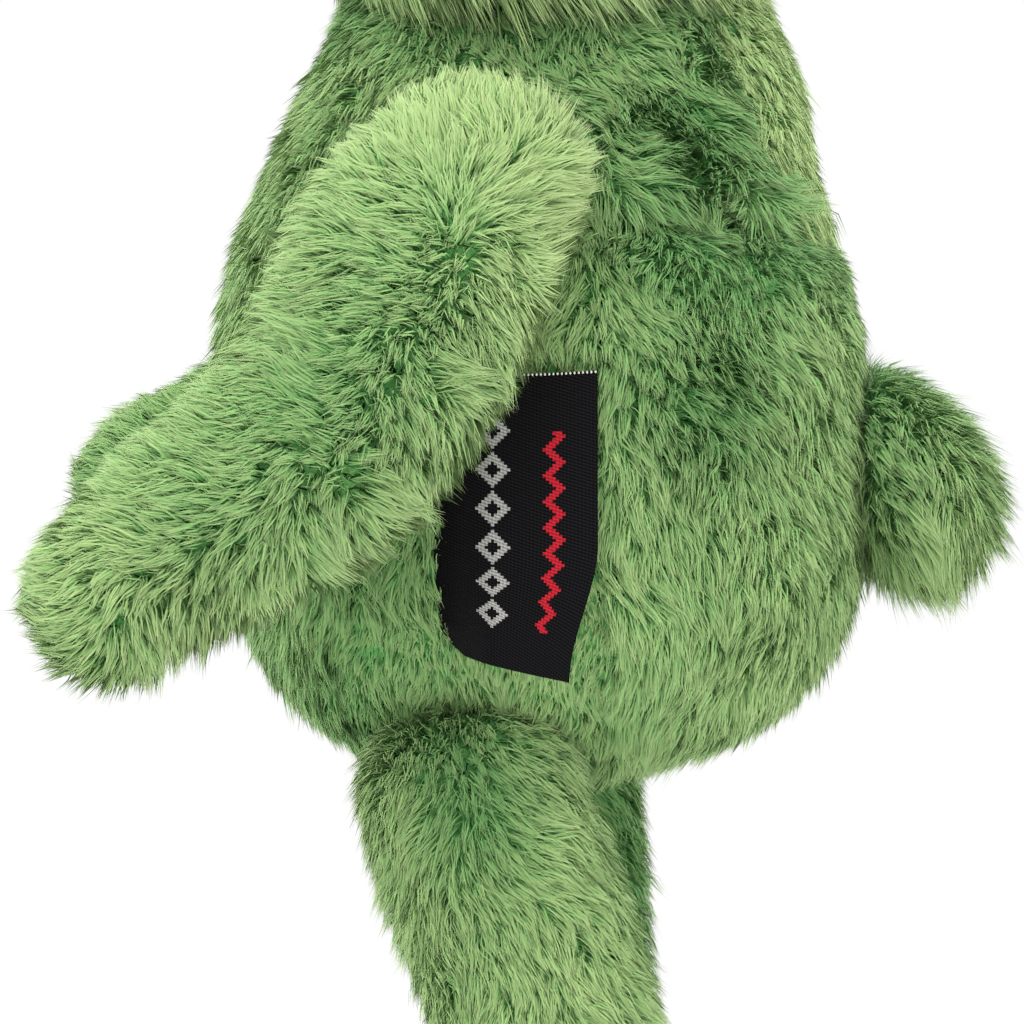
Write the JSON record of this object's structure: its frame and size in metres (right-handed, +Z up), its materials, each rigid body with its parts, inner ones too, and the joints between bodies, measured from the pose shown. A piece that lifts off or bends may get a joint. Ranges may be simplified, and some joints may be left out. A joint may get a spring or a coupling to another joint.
{
  "type": "plush rabbit keychain",
  "caption": "Green long-pile plush rabbit with dangling limbs, pom-pom tail and side label, hung by a crown tape from a swivel snap clasp and split key ring.",
  "frame": {"origin": "inner top of the split key ring, where the keychain hangs", "axes": "+Z up, the rabbit faces -Y and its left side is +X"},
  "size_m": [0.088, 0.0832, 0.2203],
  "materials": {
    "plush": "long-pile plush",
    "stuffing": "fibre fill",
    "ear_lining": "short velour",
    "bead": "polished",
    "washer": "moulded",
    "thread": "satin stitch",
    "label": "woven damask",
    "tape": "woven tape",
    "clasp_metal": "plated",
    "wire_metal": "drawn wire"
  },
  "bodies": {
    "key_ring": {"key_ring": "wire_metal"},
    "clasp": {"clasp_body": "clasp_metal", "gate_pin": "wire_metal", "gate_spring": "wire_metal"},
    "gate": {"clasp_gate": "clasp_metal"},
    "swivel": {"swivel_eye": "clasp_metal"},
    "head": {"head_cover": "plush", "head_stuffing": "stuffing", "left_eye": "bead", "right_eye": "bead", "left_eye_washer": "washer", "right_eye_washer": "washer", "nose_embroidery": "thread", "mouth_stitch": "thread", "hanging_tape": "tape"},
    "torso": {"torso_cover": "plush", "torso_stuffing": "stuffing"},
    "left_arm": {"left_arm_cover": "plush", "left_arm_stuffing": "stuffing"},
    "right_arm": {"right_arm_cover": "plush", "right_arm_stuffing": "stuffing"},
    "left_leg": {"left_leg_cover": "plush", "left_leg_stuffing": "stuffing"},
    "right_leg": {"right_leg_cover": "plush", "right_leg_stuffing": "stuffing"},
    "left_ear": {"left_ear_back": "plush", "left_ear_lining": "ear_lining"},
    "right_ear": {"right_ear_back": "plush", "right_ear_lining": "ear_lining"},
    "tail": {"tail_cover": "plush", "tail_stuffing": "stuffing"},
    "label": {"side_label": "label"}
  },
  "joints": [
    {"name": "clasp_swing", "type": "hinge", "parent": "key_ring", "child": "clasp", "pos_m": [0, 0, -0.02325], "axis": [0, 1, 0], "range_deg": [-35, 35]},
    {"name": "gate_hinge", "type": "hinge", "parent": "clasp", "child": "gate", "pos_m": [0.005, 0, -0.04515], "axis": [0, -1, 0], "range_deg": [0, 22], "stiffness_Nm_per_rad": 0.005, "springref_deg": -8.59},
    {"name": "swivel_spin", "type": "hinge", "parent": "clasp", "child": "swivel", "pos_m": [0, 0, -0.04915], "axis": [0, 0, 1], "continuous": true},
    {"name": "loop_swing", "type": "hinge", "parent": "swivel", "child": "head", "pos_m": [0, 0, -0.05795], "axis": [1, 0, 0], "range_deg": [-35, 35]},
    {"name": "neck_nod", "type": "hinge", "parent": "head", "child": "torso", "pos_m": [0, 0.0018, -0.11495], "axis": [1, 0, 0], "range_deg": [-12, 12], "stiffness_Nm_per_rad": 0.2, "springref_deg": -0.17},
    {"name": "shoulder_left", "type": "hinge", "parent": "torso", "child": "left_arm", "pos_m": [0.02328, -0.001, -0.1252], "axis": [-0.9397, 0, -0.342], "range_deg": [-37, 55], "stiffness_Nm_per_rad": 0.03, "springref_deg": 0.44},
    {"name": "shoulder_right", "type": "hinge", "parent": "torso", "child": "right_arm", "pos_m": [-0.02328, -0.001, -0.1252], "axis": [-0.9397, 0, 0.342], "range_deg": [-52, 40], "stiffness_Nm_per_rad": 0.03, "springref_deg": 0.61},
    {"name": "hip_left", "type": "hinge", "parent": "torso", "child": "left_leg", "pos_m": [0.013, -0.0016, -0.17535], "axis": [-1, 0, 0], "range_deg": [-14, 46], "stiffness_Nm_per_rad": 0.03, "springref_deg": -0.24},
    {"name": "hip_right", "type": "hinge", "parent": "torso", "child": "right_leg", "pos_m": [-0.013, -0.0016, -0.17535], "axis": [-1, 0, 0], "range_deg": [-23, 37], "stiffness_Nm_per_rad": 0.03, "springref_deg": -0.06},
    {"name": "ear_left_flop", "type": "hinge", "parent": "head", "child": "left_ear", "pos_m": [0.016, -0.0002, -0.06495], "axis": [1, 0, 0], "range_deg": [-20, 40], "stiffness_Nm_per_rad": 0.01, "springref_deg": 0.04},
    {"name": "ear_right_flop", "type": "hinge", "parent": "head", "child": "right_ear", "pos_m": [-0.016, -0.0002, -0.06495], "axis": [1, 0, 0], "range_deg": [-20, 40], "stiffness_Nm_per_rad": 0.01, "springref_deg": 0.04},
    {"name": "tail_wag", "type": "hinge", "parent": "torso", "child": "tail", "pos_m": [0, 0.0289, -0.14795], "axis": [1, 0, 0], "range_deg": [-10, 10], "stiffness_Nm_per_rad": 0.001, "springref_deg": 1.26},
    {"name": "label_flap", "type": "hinge", "parent": "torso", "child": "label", "pos_m": [0.0253, -0.0057, -0.15215], "axis": [0, 0, -1], "range_deg": [0, 10], "stiffness_Nm_per_rad": 0.0001}
  ]
}
